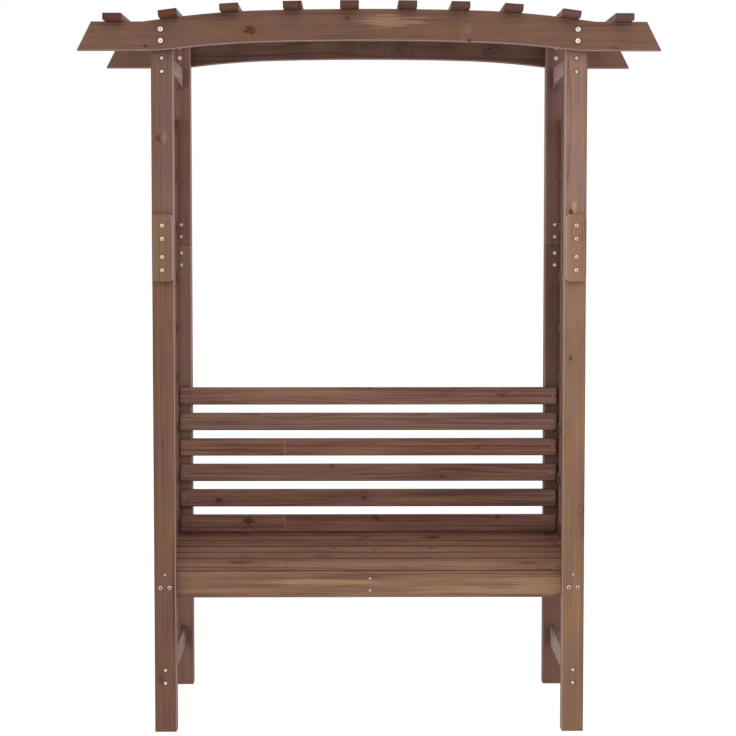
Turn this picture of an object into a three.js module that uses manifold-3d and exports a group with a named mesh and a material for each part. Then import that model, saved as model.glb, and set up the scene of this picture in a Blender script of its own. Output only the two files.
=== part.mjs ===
// A wooden garden arbour seat: a slatted bench between four spliced posts, with a trellis at each
// side and a roof of ten rafters on two arched beams. Lengths are in millimetres.
// The origin is on the ground, in the middle of the width and of the depth. +X is to the right of
// someone who faces the seat, +Y runs from the front to the back, and +Z is up.
import * as THREE from "three";
import { mergeVertices } from "three/addons/utils/BufferGeometryUtils.js";
import Module from "manifold-3d";

// The film of air left where one piece lies on or butts against another, and the overrun of a cut.
const fit = 0.3;
const overrun = 4;

// Where the posts stand: the distance between their centres across the seat, and the clear depth
// between the front and the rear pair.
const acrossPosts = 1088;
const clearDepth = 406;

const post = {
  width: 58,
  depth: 35,
  edge: 3,
  endEase: 1,
  lowerLength: 1295,
  upperLength: 590,
};

// The plate that joins the lower and the upper half of a post.
const plate = { width: 54, height: 178, thickness: 16, corner: 12, edge: 2 };

// A three-centred arch between two level tails. The crown's radius carries out to crownHalf, the
// shoulder's radius from there to shoulderEnd, and a reversed curve falls onto the tail at tailStart.
const beam = {
  thickness: 22,
  edge: 2,
  length: 1526,
  endSlant: 38,
  tailHeight: 75,
  archDepth: 82,
  crownRadius: 10000,
  crownHalf: 276,
  shoulderRadius: 2340,
  shoulderEnd: 560,
  shoulderDrop: 4,
  tailStart: 592,
};
const beamSteps = 30;

// The rafters lie across both beams. endInset is from the upper corner of a tail to the centre of
// the last rafter, and the shares say how far each has strayed from even spacing.
const rafter = { length: 585, width: 49, thickness: 18, edge: 1.5, endInset: 60.5 };
const rafterStrayShares = [-0.01, -0.03, 0.04, 0.15, 0.15, 0.17, 0.1, 0.03, 0.04, -0.02];
const seatSamples = 12;

// The rails that join each front post to the rear post behind it.
const topRail = { thickness: 16, height: 61, archRise: 20, belowBeam: 3, edge: 2 };
const stretcher = { thickness: 14, height: 60, aboveGround: 116, edge: 2.5 };
const archSteps = 12;

const seat = {
  height: 443.5,
  slatThickness: 16,
  slatGap: 7,
  slatEdge: 3,
  endInset: 7,
  edgeGap: 1,
  railWidth: 44,
  railHeight: 72.5,
  railEdge: 2,
  apronThickness: 22,
  rearUpstand: 5,
};
const seatSlats = 5;

const back = {
  slatHeight: 50,
  slatThickness: 18,
  slatGap: 24.8,
  aboveSeat: 12.5,
  overPosts: 35,
  corner: 8,
  edge: 2.5,
};
const backSlats = 6;

// A trellis is two layers of laths, level ones and upright ones, each let into the other by letIn
// where they cross. The lowest level lath is wider, a foot rail, and the pitch of the others is
// counted from firstRow above the seat. Both sides have the same panel, the same way round, so its
// upright laths are towards +X on either side.
const trellis = {
  lathWidth: 28,
  lathThickness: 6,
  letIn: 1,
  footRail: 46,
  aboveSeat: 6,
  firstRow: 27,
  belowTopRail: 105,
  uprightOverrun: 4,
  besideBack: 1.2,
};
const trellisRows = 9;
const trellisColumns = 3;

// The bolts that hold a beam on a post: a domed head with a hexagon socket, and a round nut.
const bolt = {
  shankRadius: 4,
  holeClearance: 0.5,
  headRadius: 6.8,
  headHeight: 4,
  crownRise: 1.6,
  socketAcross: 5,
  socketDepth: 2.5,
  nutRadius: 5.5,
  nutHeight: 4,
  aboveTailBottom: 25,
  spacing: 30,
};
const roundSides = 16;
const socketSides = 6;
const domeSteps = 3;
const cornerSteps = 2;

// Places that more than one piece uses.
const sides = { left: -1, right: 1 };
const ends = { front: -1, rear: 1 };
const postX = acrossPosts / 2;
const innerY = clearDepth / 2;
const outerY = innerY + post.depth;
const postY = (innerY + outerY) / 2;
const postTop = post.lowerLength + post.upperLength;
const tailBottom = postTop - beam.tailHeight;
const topRailTop = tailBottom - topRail.belowBeam;
const topRailBottom = topRailTop - topRail.height;
const seatRailTop = seat.height - seat.slatThickness;
const boltHeights = [tailBottom + bolt.aboveTailBottom, tailBottom + bolt.aboveTailBottom + bolt.spacing];

// How far the arch has fallen at x from its crown, along its two arcs.
function archDrop(x) {
  const reach = Math.abs(x);
  const crown = (u) => beam.crownRadius - Math.sqrt(beam.crownRadius ** 2 - u ** 2);
  if (reach <= beam.crownHalf) return crown(reach);
  const turn = Math.asin(beam.crownHalf / beam.crownRadius);
  const centre = beam.crownHalf - beam.shoulderRadius * Math.sin(turn);
  const level = beam.shoulderRadius * Math.cos(turn);
  return crown(beam.crownHalf) + level - Math.sqrt(beam.shoulderRadius ** 2 - (reach - centre) ** 2);
}

const crownTop = postTop + archDrop(beam.shoulderEnd) + beam.shoulderDrop;

// The height of a beam's top edge at x: the arch, the reversed curve of the shoulder, the tail.
function beamTop(x) {
  const reach = Math.abs(x);
  if (reach <= beam.shoulderEnd) return crownTop - archDrop(reach);
  if (reach >= beam.tailStart) return postTop;
  const turn = Math.asin(beam.crownHalf / beam.crownRadius);
  const centre = beam.crownHalf - beam.shoulderRadius * Math.sin(turn);
  const slope = Math.tan(Math.asin((beam.shoulderEnd - centre) / beam.shoulderRadius));
  const run = beam.tailStart - beam.shoulderEnd;
  const t = (reach - beam.shoulderEnd) / run;
  const fall = (1 - t) ** 2 * (1 + 2 * t);
  return postTop + beam.shoulderDrop * fall - slope * run * t * (1 - t) ** 2;
}

function beamBottom(x) {
  const reach = Math.min(Math.abs(x), beam.shoulderEnd);
  return Math.max(tailBottom, crownTop - beam.archDepth - archDrop(reach));
}

// Finishes: dark oiled softwood, lighter where it meets the light, and yellow zinc on the bolts.
function wood(hex) {
  return new THREE.MeshStandardMaterial({ color: hex, roughness: 0.7, metalness: 0 });
}
const postWood = { left: wood(0x7b5a4b), right: wood(0x8f6e5b) };
const rearPostWood = wood(0x6e5349);
const plateWood = { left: wood(0x896b58), right: wood(0x9c7862) };
const beamWood = wood(0x785748);
const rafterWood = wood(0x7a5a4a);
const railWood = wood(0x75594c);
const seatWood = wood(0x7f5d4b);
const apronWood = wood(0x8c6955);
const backWood = wood(0x634840);
const lathWood = wood(0x6b4c40);
const zinc = new THREE.MeshStandardMaterial({ color: 0xc9a893, roughness: 0.35, metalness: 0.9 });

const wasm = await Module();
wasm.setup();

// A closed geometry as a solid that can be cut and joined, and back again.
function solid(geometry) {
  const bare = geometry.clone();
  bare.deleteAttribute("normal");
  bare.deleteAttribute("uv");
  const merged = mergeVertices(bare);
  return new wasm.Manifold(
    new wasm.Mesh({
      numProp: 3,
      vertProperties: merged.attributes.position.array,
      triVerts: new Uint32Array(merged.index.array),
    }),
  );
}

function geometryOf(body) {
  const mesh = body.getMesh();
  const geometry = new THREE.BufferGeometry();
  geometry.setAttribute("position", new THREE.BufferAttribute(mesh.vertProperties, 3));
  geometry.setIndex(new THREE.BufferAttribute(mesh.triVerts, 1));
  geometry.computeVertexNormals();
  return geometry;
}

// A rectangle with round corners, centred on the origin.
function roundedRectangle(width, height, radius) {
  const right = width / 2;
  const top = height / 2;
  const shape = new THREE.Shape();
  shape.moveTo(right, radius - top);
  shape.absarc(right - radius, top - radius, radius, 0, Math.PI / 2);
  shape.absarc(radius - right, top - radius, radius, Math.PI / 2, Math.PI);
  shape.absarc(radius - right, radius - top, radius, Math.PI, 1.5 * Math.PI);
  shape.absarc(right - radius, radius - top, radius, 1.5 * Math.PI, 2 * Math.PI);
  return shape;
}

// An outline given full depth along +Z, centred, with its two rims eased by a chamfer.
function slab(outline, depth, ease) {
  const geometry = new THREE.ExtrudeGeometry(outline, {
    depth: depth - 2 * ease,
    curveSegments: cornerSteps,
    bevelEnabled: ease > 0,
    bevelThickness: ease,
    bevelSize: ease,
    bevelOffset: -ease,
    bevelSegments: 1,
  });
  return geometry.translate(0, 0, ease - depth / 2);
}

// A stick of timber along +Z: its four long edges are rounded and its ends are eased.
function stick(width, height, length, edge, ease) {
  return slab(roundedRectangle(width, height, edge), length, ease);
}

const alongX = (geometry) => geometry.rotateY(Math.PI / 2);
const alongY = (geometry) => geometry.rotateX(Math.PI / 2);

const arbour = new THREE.Group();

function add(name, geometry, material, x, y, z) {
  const mesh = new THREE.Mesh(geometry, material);
  mesh.name = name;
  mesh.position.set(x, y, z);
  arbour.add(mesh);
  return mesh;
}

// A round bar along Y that cuts a bolt's hole through whatever it crosses.
function holeCutter(x, y, z, length) {
  const radius = bolt.shankRadius + bolt.holeClearance;
  return solid(new THREE.CylinderGeometry(radius, radius, length, roundSides).translate(x, y, z));
}

function lowerPost() {
  return stick(post.width, post.depth, post.lowerLength - fit, post.edge, post.endEase);
}

function upperPost() {
  const centre = post.lowerLength + post.upperLength / 2;
  const body = solid(stick(post.width, post.depth, post.upperLength, post.edge, post.endEase));
  const cut = (left, height) =>
    left.subtract(holeCutter(0, 0, height - centre, post.depth + 2 * overrun));
  return geometryOf(boltHeights.reduce(cut, body));
}

// The outline of an arched beam, seen from the front: along its lower edge and back along its top.
function beamOutline() {
  const tip = beam.length / 2;
  const topTip = tip - beam.endSlant;
  const xs = Array.from({ length: beamSteps + 1 }, (_, i) => beam.tailStart * ((2 * i) / beamSteps - 1));
  const points = [new THREE.Vector2(-tip, tailBottom)];
  for (const x of xs) points.push(new THREE.Vector2(x, beamBottom(x)));
  points.push(new THREE.Vector2(tip, tailBottom), new THREE.Vector2(topTip, postTop));
  for (const x of xs.reverse()) points.push(new THREE.Vector2(x, beamTop(x)));
  points.push(new THREE.Vector2(-topTip, postTop));
  return new THREE.Shape(points);
}

function archedBeam(centreY) {
  const length = beam.thickness + 2 * overrun;
  const plank = slab(beamOutline(), beam.thickness, beam.edge).rotateX(Math.PI / 2);
  let body = solid(plank.translate(0, centreY, 0));
  for (const x of [-postX, postX])
    for (const height of boltHeights) body = body.subtract(holeCutter(x, centreY, height, length));
  return geometryOf(body);
}

// A bolt along -Y, its head's underside at the origin and its shank and nut behind it, on +Y.
function beamBolt() {
  const reach = beam.thickness + post.depth + 2 * fit;
  const nutFace = reach + fit;
  const profile = [new THREE.Vector2(0, nutFace + bolt.nutHeight)];
  profile.push(new THREE.Vector2(bolt.nutRadius, nutFace + bolt.nutHeight));
  profile.push(new THREE.Vector2(bolt.nutRadius, nutFace), new THREE.Vector2(bolt.shankRadius, nutFace));
  profile.push(new THREE.Vector2(bolt.shankRadius, -fit), new THREE.Vector2(bolt.headRadius, -fit));
  const rim = -fit - bolt.headHeight + bolt.crownRise;
  for (let i = 0; i < domeSteps; i++) {
    const angle = (i / domeSteps) * (Math.PI / 2);
    const crown = rim - bolt.crownRise * Math.sin(angle);
    profile.push(new THREE.Vector2(bolt.headRadius * Math.cos(angle), crown));
  }
  profile.push(new THREE.Vector2(0, rim - bolt.crownRise));
  const body = solid(new THREE.LatheGeometry(profile.reverse(), roundSides));
  const socketRadius = bolt.socketAcross / Math.sqrt(3);
  const depth = bolt.socketDepth + overrun;
  const socket = new THREE.CylinderGeometry(socketRadius, socketRadius, depth, socketSides);
  const floor = rim - bolt.crownRise + bolt.socketDepth;
  socket.translate(0, floor - depth / 2, 0);
  return geometryOf(body.subtract(solid(socket)));
}

// Where a rafter centred on x lies: it leans with the chord of the beam's top edge under it, and is
// lifted until no point of that edge stands above its underside.
function rafterSeat(x) {
  const half = rafter.width / 2;
  const slope = (beamTop(x + half) - beamTop(x - half)) / rafter.width;
  let lift = -Infinity;
  for (let i = 0; i <= seatSamples; i++) {
    const u = half * ((2 * i) / seatSamples - 1);
    lift = Math.max(lift, beamTop(x + u) - slope * u);
  }
  return { lean: Math.atan(slope), height: lift };
}

function addPosts() {
  for (const [side, sx] of Object.entries(sides))
    for (const [end, sy] of Object.entries(ends)) {
      const material = end === "front" ? postWood[side] : rearPostWood;
      const lower = (post.lowerLength - fit) / 2;
      const upper = post.lowerLength + post.upperLength / 2;
      add(`${end}_${side}_lower_post`, lowerPost(), material, sx * postX, sy * postY, lower);
      add(`${end}_${side}_upper_post`, upperPost(), material, sx * postX, sy * postY, upper);
      const outline = roundedRectangle(plate.width, plate.height, plate.corner);
      const platePiece = slab(outline, plate.thickness, plate.edge).rotateX(Math.PI / 2);
      const plateY = sy * (outerY + fit + plate.thickness / 2);
      add(`${end}_${side}_splice_plate`, platePiece, plateWood[side], sx * postX, plateY, post.lowerLength);
    }
}

function addRoof() {
  const beamY = outerY + fit + beam.thickness / 2;
  for (const [end, sy] of Object.entries(ends)) {
    add(`${end}_arched_beam`, archedBeam(sy * beamY), beamWood, 0, 0, 0);
    for (const [side, sx] of Object.entries(sides))
      boltHeights.forEach((height, i) => {
        const place = sy * (beamY + beam.thickness / 2);
        const piece = add(`${end}_${side}_beam_bolt_${i + 1}`, beamBolt(), zinc, sx * postX, place, height);
        piece.rotation.z = end === "front" ? 0 : Math.PI;
      });
  }
  const last = beam.length / 2 - beam.endSlant - rafter.endInset;
  const pitch = (2 * last) / (rafterStrayShares.length - 1);
  rafterStrayShares.forEach((share, i) => {
    const x = pitch * (i + share) - last;
    const { lean, height } = rafterSeat(x);
    const lift = fit + rafter.thickness / 2;
    const ease = rafter.edge / 2;
    const geometry = alongY(stick(rafter.width, rafter.thickness, rafter.length, rafter.edge, ease));
    const number = String(i + 1).padStart(2, "0");
    const placeX = x - lift * Math.sin(lean);
    const piece = add(`rafter_${number}`, geometry, rafterWood, placeX, 0, height + lift * Math.cos(lean));
    piece.rotation.y = -lean;
  });
}

// A top rail, seen from the side: straight above, and arched below from post to post.
function topRailOutline() {
  const half = innerY - fit;
  const points = [new THREE.Vector2(-half, topRailTop), new THREE.Vector2(-half, topRailBottom)];
  for (let i = 1; i < archSteps; i++) {
    const share = (2 * i) / archSteps - 1;
    points.push(new THREE.Vector2(share * half, topRailBottom + topRail.archRise * (1 - share ** 2)));
  }
  points.push(new THREE.Vector2(half, topRailBottom), new THREE.Vector2(half, topRailTop));
  return new THREE.Shape(points);
}

function addSideRails() {
  const upright = (geometry) => geometry.rotateX(Math.PI / 2).rotateZ(Math.PI / 2);
  const length = clearDepth - 2 * fit;
  for (const [side, sx] of Object.entries(sides)) {
    const top = upright(slab(topRailOutline(), topRail.thickness, topRail.edge));
    add(`${side}_top_rail`, top, railWood, sx * postX, 0, 0);
    const low = alongY(stick(stretcher.thickness, stretcher.height, length, stretcher.edge, post.endEase));
    const height = stretcher.aboveGround + stretcher.height / 2;
    add(`${side}_lower_stretcher`, low, railWood, sx * postX, 0, height);
    const rail = alongY(stick(seat.railWidth, seat.railHeight, length, seat.railEdge, post.endEase));
    add(`${side}_seat_rail`, rail, railWood, sx * postX, 0, seatRailTop - fit - seat.railHeight / 2);
  }
}

// The front apron lies between the seat's side rails, under the first slat. The rear one runs between
// the rear posts, behind the last slat, and stands a little above the seat.
function addSeat() {
  const railZ = seatRailTop - fit - seat.railHeight / 2;
  const low = railZ - seat.railHeight / 2;
  const frontLength = acrossPosts - seat.railWidth - 2 * fit;
  const frontY = innerY - fit - seat.apronThickness / 2;
  const front = stick(seat.railHeight, seat.apronThickness, frontLength, seat.railEdge, post.endEase);
  add("front_apron", alongX(front), apronWood, 0, -frontY, railZ);

  const rearLength = acrossPosts - post.width - 2 * fit;
  const rearHeight = seat.height + seat.rearUpstand - low;
  const rearY = innerY + fit + seat.apronThickness / 2;
  const rear = stick(rearHeight, seat.apronThickness, rearLength, seat.railEdge, post.endEase);
  add("rear_apron", alongX(rear), apronWood, 0, rearY, low + rearHeight / 2);

  const bearerFront = -(frontY - seat.apronThickness / 2 - fit);
  const bearerRear = innerY;
  const bearerLength = bearerRear - bearerFront;
  const bearer = stick(seat.railWidth, seat.railHeight, bearerLength, seat.railEdge, post.endEase);
  add("centre_bearer", alongY(bearer), railWood, 0, (bearerFront + bearerRear) / 2, railZ);

  const slatWidth = (clearDepth - 2 * seat.edgeGap - (seatSlats - 1) * seat.slatGap) / seatSlats;
  const slatLength = acrossPosts + post.width - 2 * seat.endInset;
  for (let i = 0; i < seatSlats; i++) {
    const y = (i - (seatSlats - 1) / 2) * (slatWidth + seat.slatGap);
    const slat = stick(seat.slatThickness, slatWidth, slatLength, seat.slatEdge, post.endEase);
    add(`seat_slat_${i + 1}`, alongX(slat), seatWood, 0, y, seat.height - seat.slatThickness / 2);
  }
}

const backSlatLength = acrossPosts - post.width + 2 * back.overPosts;

function addBack() {
  const y = innerY - fit - back.slatThickness / 2;
  const lowest = seat.height + back.aboveSeat + back.slatHeight / 2;
  for (let i = 0; i < backSlats; i++) {
    const outline = roundedRectangle(backSlatLength, back.slatHeight, back.corner);
    const slat = slab(outline, back.slatThickness, back.edge).rotateX(Math.PI / 2);
    add(`back_slat_${i + 1}`, slat, backWood, 0, y, lowest + i * (back.slatHeight + back.slatGap));
  }
}

// A trellis centred on x, from just above the seat to below the top rail, with its laths between the
// faces of the posts and outside the ends of the back slats.
function trellisPanel(x) {
  const foot = seat.height + trellis.aboveSeat;
  const lowRow = seat.height + trellis.firstRow;
  const highRow = topRailBottom - trellis.belowTopRail;
  const layer = (trellis.lathThickness - trellis.letIn) / 2;
  const bar = (depth, height, layerX, y, z) =>
    solid(new THREE.BoxGeometry(trellis.lathThickness, depth, height).translate(layerX, y, z));
  const reach = innerY - fit;
  const level = (height, z) => bar(2 * reach, height, x - layer, 0, z);

  let panel = level(trellis.footRail, foot + trellis.footRail / 2);
  for (let row = 1; row < trellisRows; row++) {
    const height = lowRow + (row / (trellisRows - 1)) * (highRow - lowRow);
    panel = panel.add(level(trellis.lathWidth, height));
  }
  const top = highRow + trellis.lathWidth / 2 + trellis.uprightOverrun;
  for (let column = 0; column < trellisColumns; column++) {
    const y = ((2 * column) / (trellisColumns - 1) - 1) * (reach - trellis.lathWidth / 2);
    panel = panel.add(bar(trellis.lathWidth, top - foot, x + layer, y, (top + foot) / 2));
  }
  return geometryOf(panel);
}

function addTrellis() {
  const thickness = 2 * trellis.lathThickness - trellis.letIn;
  const x = backSlatLength / 2 + trellis.besideBack + thickness / 2;
  for (const [side, sx] of Object.entries(sides))
    add(`${side}_trellis`, trellisPanel(sx * x), lathWood, 0, 0, 0);
}

addPosts();
addRoof();
addSideRails();
addSeat();
addBack();
addTrellis();

export default arbour;
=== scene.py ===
# %% [markdown]
# # A wooden arbour seat
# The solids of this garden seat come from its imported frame: four spliced posts, a slatted bench and
# back, a trellis at each side and a roof of rafters on two arched beams. This lesson gives them
# their looks. Every board gets its own sawn and stained softwood, with growth rings that run through
# it, knots and finger joints, and the bolts and screws that hold the real thing together are added
# as turned surfaces.

# %% Load the frame
import math

import bpy
import numpy as np
from mathutils import Matrix, Vector


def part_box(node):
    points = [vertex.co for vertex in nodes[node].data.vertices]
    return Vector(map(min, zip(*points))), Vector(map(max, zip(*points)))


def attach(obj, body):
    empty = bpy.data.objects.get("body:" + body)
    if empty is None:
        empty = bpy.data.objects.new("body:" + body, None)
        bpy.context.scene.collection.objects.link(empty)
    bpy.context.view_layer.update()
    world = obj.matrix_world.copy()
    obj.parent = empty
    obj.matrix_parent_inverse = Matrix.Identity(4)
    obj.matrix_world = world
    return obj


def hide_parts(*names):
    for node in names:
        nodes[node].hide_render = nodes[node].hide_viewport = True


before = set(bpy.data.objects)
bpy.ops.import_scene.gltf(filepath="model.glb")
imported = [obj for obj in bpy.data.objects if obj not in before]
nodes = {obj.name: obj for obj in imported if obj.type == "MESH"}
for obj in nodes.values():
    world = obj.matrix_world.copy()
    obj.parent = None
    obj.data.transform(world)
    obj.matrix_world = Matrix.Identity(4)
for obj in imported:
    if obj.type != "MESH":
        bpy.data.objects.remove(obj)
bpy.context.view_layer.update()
MM = 0.001

# %% [markdown]
# ## The camera
# The picture was taken from about 4.2 m in front of the seat, at eye level, with a short telephoto
# lens. The camera looks a little down, and a small shift keeps the posts nearly upright.

# %% Place the camera
SENSOR_WIDTH = 36.0
LENS_LENGTH = 78.606
LENS_SHIFT = -0.094
LOOK_DOWN = 2.909
LOOK_ASIDE = -0.3935
camera_data = bpy.data.cameras.new("camera")
camera_data.sensor_width = SENSOR_WIDTH
camera_data.lens = LENS_LENGTH
camera_data.shift_y = LENS_SHIFT
camera = bpy.data.objects.new("camera", camera_data)
camera.location = (-0.0326, -4.4776, 1.3759)
camera.rotation_euler = (math.radians(90 - LOOK_DOWN), 0, math.radians(LOOK_ASIDE))
bpy.context.scene.collection.objects.link(camera)
bpy.context.scene.camera = camera
bpy.context.scene.view_settings.view_transform = "Standard"
print("camera at", tuple(camera.location), "lens", camera_data.lens)

# %% [markdown]
# ## Short names for shader nodes
# A shader tree is easier to read when a sum reads like a sum. The class below makes a node, joins a
# socket or sets its number, and hands back the output, so that a formula stays on one line.


# %% A helper for node trees
class Wires:
    """Makes and joins nodes in one tree. A value may be a socket, which is linked, or a plain number,
    colour or vector, which is set on the input."""

    def __init__(self, tree):
        self.tree = tree

    def node(self, kind, **settings):
        made = self.tree.nodes.new(kind)
        for key, value in settings.items():
            setattr(made, key, value)
        return made

    def feed(self, socket, value):
        if isinstance(value, bpy.types.NodeSocket):
            self.tree.links.new(value, socket)
        elif value is not None:
            socket.default_value = value

    def math(self, operation, a, b=None, clamp=False):
        made = self.node("ShaderNodeMath", operation=operation, use_clamp=clamp)
        self.feed(made.inputs[0], a)
        self.feed(made.inputs[1], b)
        return made.outputs[0]

    def add(self, a, b):
        return self.math("ADD", a, b)

    def sub(self, a, b):
        return self.math("SUBTRACT", a, b)

    def mul(self, a, b):
        return self.math("MULTIPLY", a, b)

    def vector(self, operation, a, b=None):
        made = self.node("ShaderNodeVectorMath", operation=operation)
        self.feed(made.inputs[0], a)
        self.feed(made.inputs[1], b)
        return made.outputs["Value"] if operation == "LENGTH" else made.outputs["Vector"]

    def split(self, vector):
        made = self.node("ShaderNodeSeparateXYZ")
        self.feed(made.inputs[0], vector)
        return made.outputs

    def join(self, x, y, z=0.0):
        made = self.node("ShaderNodeCombineXYZ")
        for socket, value in zip(made.inputs, (x, y, z)):
            self.feed(socket, value)
        return made.outputs[0]

    def step(self, value, low, high, start=0.0, end=1.0):
        """start below low, end above high, and a smooth S between them."""
        made = self.node("ShaderNodeMapRange", interpolation_type="SMOOTHSTEP")
        for socket, given in zip(made.inputs, (value, low, high, start, end)):
            self.feed(socket, given)
        return made.outputs[0]

    def noise(self, vector, stretch, detail=2.0, roughness=0.5):
        """Cloudy noise on the vector times stretch: the factor and the colour output."""
        made = self.node("ShaderNodeTexNoise")
        self.feed(made.inputs["Vector"], self.vector("MULTIPLY", vector, stretch))
        made.inputs["Scale"].default_value = 1.0
        made.inputs["Detail"].default_value = detail
        made.inputs["Roughness"].default_value = roughness
        return made.outputs

    def swing(self, vector, stretch, detail=2.0, roughness=0.5):
        """The same noise, moved so that it swings about 0."""
        return self.sub(self.noise(vector, stretch, detail, roughness)["Fac"], 0.5)

    def random(self, value):
        """Three unrelated numbers from 0 to 1 that belong to one whole number."""
        made = self.node("ShaderNodeTexWhiteNoise", noise_dimensions="1D")
        self.feed(made.inputs["W"], value)
        split = self.node("ShaderNodeSeparateColor")
        self.tree.links.new(made.outputs["Color"], split.inputs[0])
        return split.outputs

    def blend(self, factor, a, b, mode="MIX"):
        made = self.node("ShaderNodeMix", data_type="RGBA", blend_type=mode)
        self.feed(made.inputs[0], factor)
        self.feed(made.inputs[6], a)
        self.feed(made.inputs[7], b)
        return made.outputs[2]

    def tint(self, colour, factors):
        """The colour, with its red, green and blue each multiplied by a factor."""
        return self.blend(1.0, colour, (*factors, 1), "MULTIPLY")


def new_group(name, inputs, outputs):
    """A node group with named sockets: its wires, its input sockets and a function that sends out."""
    tree = bpy.data.node_groups.new(name, "ShaderNodeTree")
    kinds = {"float": "NodeSocketFloat", "vector": "NodeSocketVector", "colour": "NodeSocketColor"}
    for label, kind, start in inputs:
        socket = tree.interface.new_socket(label, in_out="INPUT", socket_type=kinds[kind])
        socket.default_value = start
    for label, kind in outputs:
        tree.interface.new_socket(label, in_out="OUTPUT", socket_type=kinds[kind])
    wires = Wires(tree)
    entry = wires.node("NodeGroupInput")
    leave = wires.node("NodeGroupOutput")

    def send(**values):
        for label, value in values.items():
            wires.feed(leave.inputs[label.replace("_", " ")], value)

    return tree, wires, entry.outputs, send


def srgb(code):
    """A colour written as six hex digits, in the linear numbers that shaders use."""
    parts = [int(code[i : i + 2], 16) / 255 for i in (0, 2, 4)]
    linear = [p / 12.92 if p <= 0.04045 else ((p + 0.055) / 1.055) ** 2.4 for p in parts]
    return (*linear, 1.0)


print("helpers ready")

# %% [markdown]
# ## A knot
# A knot is a branch that the saw has cut through. On the board it is a dark oval, longer along the
# grain, and the rings swing round it. This group answers two questions for any point of a board: is
# it inside the knot, and how near is it. Boards that show a knot in the picture place one at a listed
# spot.

# %% The knot group
KNOT_STRETCH = 0.6
KNOT_SLANT = 0.6
KNOT_RAGGED = 1.6


def knot_share(w, point, distance, radius):
    """The distance to a knot's middle in radii, pulled about by noise so that its rim is ragged."""
    wobble = w.mul(w.swing(point, (110.0, 110.0, 110.0)), KNOT_RAGGED)
    return w.add(w.math("DIVIDE", distance, radius), wobble)


def make_knot_group():
    inputs = [
        ("Board", "vector", (0, 0, 0)),
        ("Along", "float", 0.0),
        ("Across", "float", 0.0),
        ("Radius", "float", 0.006),
        ("Strength", "float", 1.0),
        ("Core Before", "float", 0.0),
        ("Halo Before", "float", 0.0),
    ]
    outputs = [("Core", "float"), ("Halo", "float")]
    tree, w, given, send = new_group("knot at a place", inputs, outputs)
    place = w.split(given["Board"])
    slanted = w.add(w.sub(place[0], given["Along"]), w.mul(place[2], KNOT_SLANT))
    along = w.mul(slanted, KNOT_STRETCH)
    across = w.sub(place[1], given["Across"])
    distance = w.vector("LENGTH", w.join(along, across))
    share = knot_share(w, given["Board"], distance, given["Radius"])
    year = w.math("ABSOLUTE", w.math("SINE", w.mul(share, 7.0)))
    core = w.mul(w.step(share, 0.35, 1.3, 1.0, 0.0), w.add(0.6, w.mul(year, 0.4)))
    halo = w.step(share, 0.6, 4.0, 1.0, 0.0)
    stained = w.mul(w.math("MAXIMUM", core, w.mul(halo, 0.16)), given["Strength"])
    send(
        Core=w.math("MAXIMUM", stained, given["Core Before"]),
        Halo=w.math("MAXIMUM", w.mul(halo, w.mul(given["Radius"], 1.2)), given["Halo Before"]),
    )
    return tree


knot_group = make_knot_group()
print("group:", knot_group.name)

# %% [markdown]
# ## A pale flame
# Where the saw runs along a year ring instead of across it, a broad pale patch opens up, round on one
# side and frayed along the grain. It is an oval whose rim is pulled about by streaky noise.

# %% The flame group


def make_flame_group():
    inputs = [
        ("Board", "vector", (0, 0, 0)),
        ("Along", "float", 0.0),
        ("Across", "float", 0.0),
        ("Half Length", "float", 0.08),
        ("Half Height", "float", 0.012),
        ("Strength", "float", 1.0),
        ("Pale Before", "float", 0.0),
    ]
    tree, w, given, send = new_group("pale flame", inputs, [("Pale", "float")])
    place = w.split(given["Board"])
    along = w.math("DIVIDE", w.sub(place[0], given["Along"]), given["Half Length"])
    across = w.math("DIVIDE", w.sub(place[1], given["Across"]), given["Half Height"])
    fray = w.swing(given["Board"], (5.0, 170.0, 170.0), 3.0)
    reach = w.add(w.vector("LENGTH", w.join(along, across)), w.mul(fray, 2.5))
    pale = w.mul(w.step(reach, 0.78, 1.05, 1.0, 0.0), given["Strength"])
    send(Pale=w.math("MAXIMUM", pale, given["Pale Before"]))
    return tree


flame_group = make_flame_group()
print("group:", flame_group.name)

# %% [markdown]
# ## Sawn softwood
# Softwood is a stack of cones: every year adds a pale ring that ends in a thin dark line. A board is
# a slice of that, so its ends show arcs and its faces show long streaks. The figure here is solid,
# worked out in the board's own frame with x along the grain: the distance from a wandering pith,
# divided by the ring width, gives the rings on every face at once. Cheap boards are glued up from
# short lengths, so each length between two finger joints draws its own pith and tone.

# %% The softwood group
FINGER_PITCH = 0.008
GLUE_LINE = (0.0004, 0.0017)
KNOT_CELL = (0.30, 0.075)
KNOT_LEAST = 0.0025
KNOT_MORE = 0.007


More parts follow.
